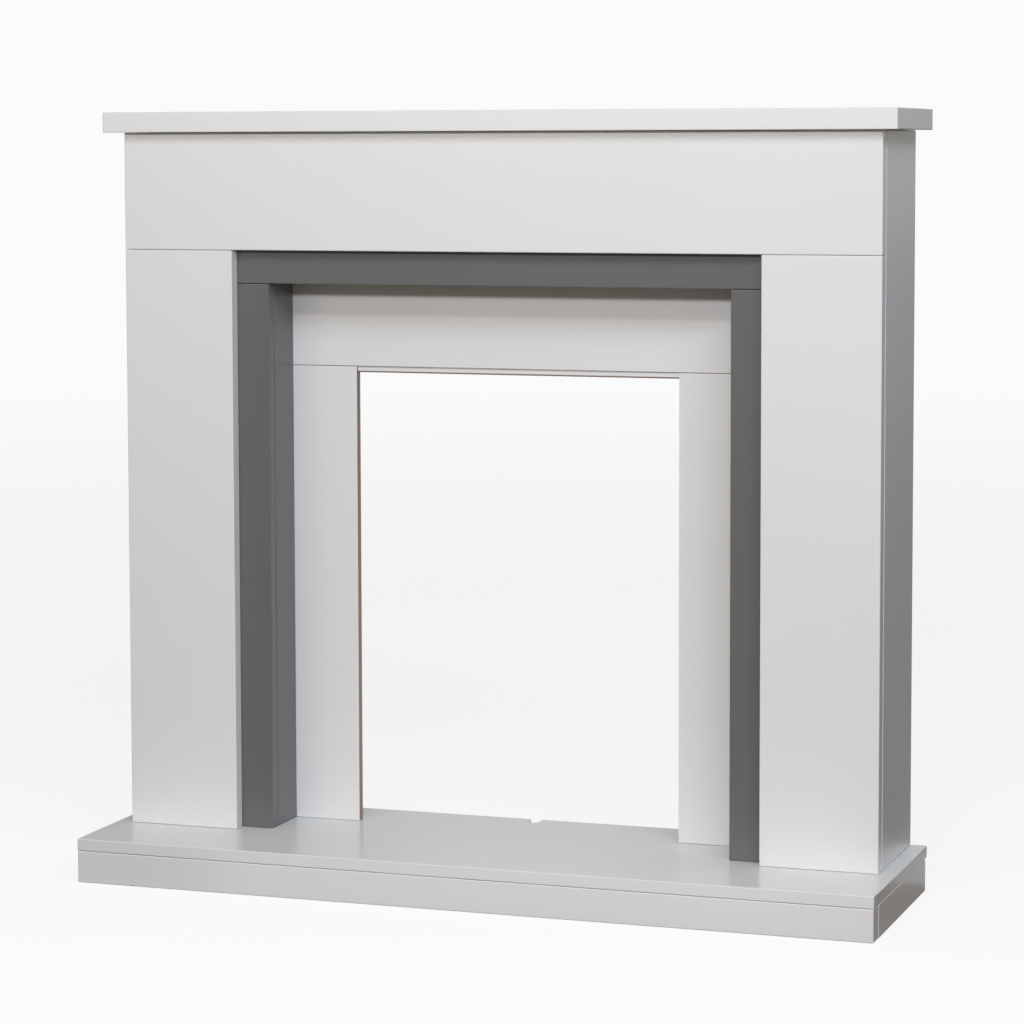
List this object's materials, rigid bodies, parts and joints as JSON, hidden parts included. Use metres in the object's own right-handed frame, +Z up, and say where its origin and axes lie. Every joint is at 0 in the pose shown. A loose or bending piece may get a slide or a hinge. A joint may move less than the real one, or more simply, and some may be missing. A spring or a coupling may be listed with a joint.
{
  "type": "fireplace mantelpiece",
  "caption": "Flat-panel fireplace mantelpiece in white painted board, with a dark grey inner trim, a back panel cut out for an inset fire, a plain shelf and a low box hearth.",
  "frame": {"origin": "on the floor, under the middle of the whole piece's box", "axes": "+X along the shelf to the viewer's right, +Y from the front to the wall, +Z up"},
  "size_m": [0.99, 0.287, 0.936],
  "materials": {
    "white_paint": "smooth white satin paint on fibreboard, with raw brown board at the cut edges of the opening and on hidden backs",
    "grey_paint": "smooth dark grey satin paint on fibreboard"
  },
  "bodies": {
    "root": {"mantel_shelf": "white_paint", "frieze_board": "white_paint", "pilaster_left": "white_paint", "pilaster_right": "white_paint", "side_panel_left": "white_paint", "side_panel_right": "white_paint", "trim_head": "grey_paint", "trim_soffit": "grey_paint", "trim_jamb_left": "grey_paint", "trim_jamb_right": "grey_paint", "trim_return_left": "grey_paint", "trim_return_right": "grey_paint", "back_panel_head": "white_paint", "back_panel_leg_left": "white_paint", "back_panel_leg_right": "white_paint", "hearth_slab": "white_paint", "plinth_front": "white_paint", "plinth_side_left": "white_paint", "plinth_side_right": "white_paint"}
  },
  "joints": []
}
